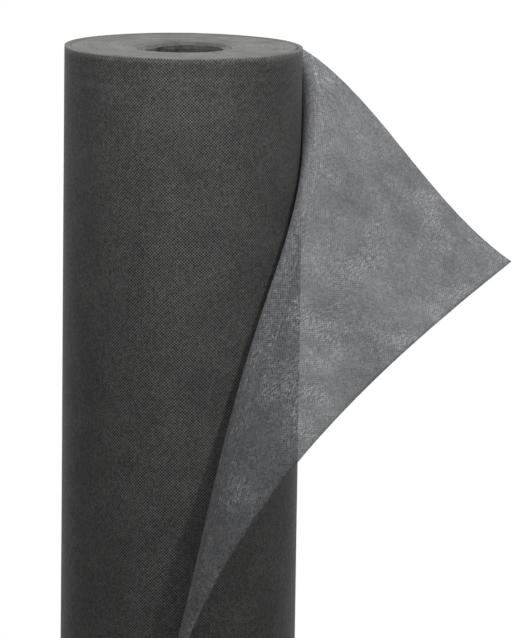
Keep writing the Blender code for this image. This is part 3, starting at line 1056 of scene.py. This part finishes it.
# Matt white paint on a smooth studio floor, which fades into an even white backdrop.
def floor_material(name, stage):
    made = new_material(name)
    tree = made.node_tree
    at = add(tree, "TexCoord").outputs["Object"]
    away = add(tree, "VectorMath", {"operation": "LENGTH"}, _0=at).outputs["Value"]
    band = {"From Min": stage.floor_radius * 0.3, "From Max": stage.floor_radius * 0.95}
    fade = add(tree, "MapRange", {"interpolation_type": "SMOOTHSTEP", **band}, Value=away)
    share = add(tree, "Math", {"operation": "MULTIPLY"}, _0=fade, _1=seen_as_backdrop(tree))
    matt = {"Base Color": (*stage.floor, 1), "Roughness": 0.9, "IOR": 1.45}
    paint = add(tree, "BsdfPrincipled", matt)
    white = add(tree, "Emission", {"Color": (1, 1, 1, 1), "Strength": 1})
    mix = add(tree, "MixShader", _0=share, _1=paint, _2=white)
    add(tree, "OutputMaterial", Surface=mix)
    return made


FLOOR_SIDES = 96
# The floor lies this far below the roll's foot.
FLOOR_DROP = 0.2 * MM

# The softboxes: the setting that holds the power, the size, how far it is turned from the front
# towards the right and how far raised, in degrees, and how far it stands from the point it faces.
LAMPS_FACE = Vector((0, 0, 0.62))
LAMPS = (
    ("key_softbox", "key_lamp", 0.2, -6, 60, 0.75),
    ("low_softbox", "low_lamp", 0.12, 35, -8, 1.2),
    ("rear_softbox", "rear_lamp", 0.25, 120, 60, 0.75),
    ("back_softbox", "back_lamp", 0.3, -155, 40, 1.2),
)

# The camera stands in front of the roll and a little above it, as far off as a long lens needs.
CAMERA_BACK = 2.667
CAMERA_ABOVE_TOP = 0.3004
CAMERA_PITCH = math.radians(10.1)
CAMERA_YAW = math.radians(1.145)
CAMERA_ROLL = math.radians(0.838)
CAMERA_LENS = 239.58


class FLEECE_OT_stage(bpy.types.Operator):
    """Makes the floor, the backdrop, the lamps and the camera"""

    bl_idname = "fleece.stage"
    bl_label = "Stage"

    def execute(self, context):
        scene = context.scene
        self.floor(scene)
        self.backdrop(scene)
        self.lamps(scene)
        self.camera(scene)
        scene.view_settings.view_transform = "Standard"
        return {"FINISHED"}

    def floor(self, scene):
        stage = scene.fleece_stage
        disc = bmesh.new()
        bmesh.ops.create_circle(
            disc, cap_ends=True, segments=FLOOR_SIDES, radius=stage.floor_radius
        )
        mesh = bpy.data.meshes.new("studio_floor")
        disc.to_mesh(mesh)
        disc.free()
        floor = bpy.data.objects.new("studio_floor", mesh)
        floor.location.z = -FLOOR_DROP
        mesh.materials.append(floor_material("matt_white_studio_floor", stage))
        scene.collection.objects.link(floor)

    def backdrop(self, scene):
        """White where it is seen, and faint even light on the roll."""
        world = scene.world or bpy.data.worlds.new("studio")
        scene.world = world
        world.use_nodes = True
        tree = world.node_tree
        tree.nodes.clear()
        light = {"Color": (1, 1, 1, 1), "Strength": scene.fleece_stage.room}
        even = add(tree, "Background", light)
        white = add(tree, "Background", {"Color": (1, 1, 1, 1), "Strength": 1})
        mix = add(tree, "MixShader", _0=seen_as_backdrop(tree), _1=even, _2=white)
        add(tree, "OutputWorld", Surface=mix)

    def lamps(self, scene):
        for name, power, size, turn_deg, rise_deg, away in LAMPS:
            turn, rise = math.radians(turn_deg), math.radians(rise_deg)
            at = LAMPS_FACE + away * Vector(
                (math.sin(turn) * math.cos(rise), -math.cos(turn) * math.cos(rise), math.sin(rise))
            )
            light = bpy.data.lights.new(name, "AREA")
            light.shape = "SQUARE"
            light.size = size
            light.energy = getattr(scene.fleece_stage, power)
            lamp = bpy.data.objects.new(name, light)
            lamp.location = at
            lamp.rotation_euler = (LAMPS_FACE - at).to_track_quat("-Z", "Y").to_euler()
            scene.collection.objects.link(lamp)

    def camera(self, scene):
        camera = bpy.data.objects.new("camera", bpy.data.cameras.new("camera"))
        camera.data.lens = CAMERA_LENS
        camera.data.sensor_width = 36
        camera.data.clip_end = 50
        right = Vector((math.cos(CAMERA_YAW), -math.sin(CAMERA_YAW), 0))
        ahead = Vector((
            math.sin(CAMERA_YAW) * math.cos(CAMERA_PITCH),
            math.cos(CAMERA_YAW) * math.cos(CAMERA_PITCH),
            -math.sin(CAMERA_PITCH),
        ))
        up = right.cross(ahead)
        turn = Matrix((
            right * math.cos(CAMERA_ROLL) + up * math.sin(CAMERA_ROLL),
            up * math.cos(CAMERA_ROLL) - right * math.sin(CAMERA_ROLL),
            -ahead,
        )).transposed().to_4x4()
        at = Vector((0, -CAMERA_BACK, scene.fleece_roll.height + CAMERA_ABOVE_TOP))
        camera.matrix_world = Matrix.Translation(at) @ turn
        scene.collection.objects.link(camera)
        scene.camera = camera


OPERATORS = (
    FLEECE_OT_winding_tube,
    FLEECE_OT_tight_turns,
    FLEECE_OT_bore_turns,
    FLEECE_OT_rim_turns,
    FLEECE_OT_last_turn,
    FLEECE_OT_stage,
)


class FLEECE_PT_panel(bpy.types.Panel):
    bl_label = "Fleece roll"
    bl_idname = "FLEECE_PT_panel"
    bl_space_type = "VIEW_3D"
    bl_region_type = "UI"
    bl_category = "Fleece roll"

    def draw(self, context):
        for group, settings in GROUPS.items():
            box = self.layout.box()
            for name in settings.__annotations__:
                box.prop(getattr(context.scene, group), name)
        for operator in OPERATORS:
            self.layout.operator(operator.bl_idname)


def register():
    for name, group in GROUPS.items():
        bpy.utils.register_class(group)
        setattr(bpy.types.Scene, name, PointerProperty(type=group))
    for kind in (*OPERATORS, FLEECE_PT_panel):
        bpy.utils.register_class(kind)


def unregister():
    for kind in reversed((*OPERATORS, FLEECE_PT_panel)):
        bpy.utils.unregister_class(kind)
    for name, group in GROUPS.items():
        delattr(bpy.types.Scene, name)
        bpy.utils.unregister_class(group)


def main():
    register()
    bpy.ops.fleece.winding_tube()
    bpy.ops.fleece.tight_turns()
    bpy.ops.fleece.bore_turns()
    bpy.ops.fleece.rim_turns()
    bpy.ops.fleece.last_turn()
    bpy.ops.fleece.stage()


if __name__ == "__main__":
    main()
